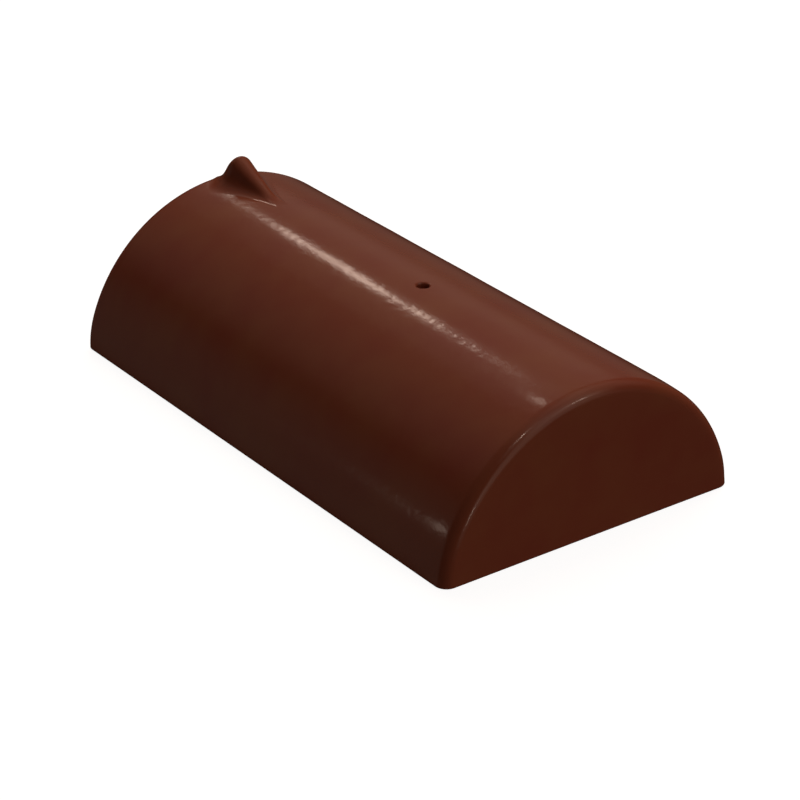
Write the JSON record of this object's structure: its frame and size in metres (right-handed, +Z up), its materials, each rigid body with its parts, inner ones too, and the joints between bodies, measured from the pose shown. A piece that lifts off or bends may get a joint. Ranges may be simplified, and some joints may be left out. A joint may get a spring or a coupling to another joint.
{
  "type": "ridge end cap tile",
  "caption": "Half-round roof ridge tile with a closed end wall, a raised nib on its crown at the open end and a nail hole, in glossy brown glaze.",
  "frame": {"origin": "under the middle of the tile, on the plane of its rims", "axes": "+Z up; +Y along the barrel, from the closed end to the open end with the nib; +X across the barrel"},
  "size_m": [0.22, 0.4, 0.1171],
  "materials": {
    "brown_glaze": "glossy brown glaze on fired clay"
  },
  "bodies": {
    "root": {"ridge_end_cap_tile": "brown_glaze"}
  },
  "joints": []
}
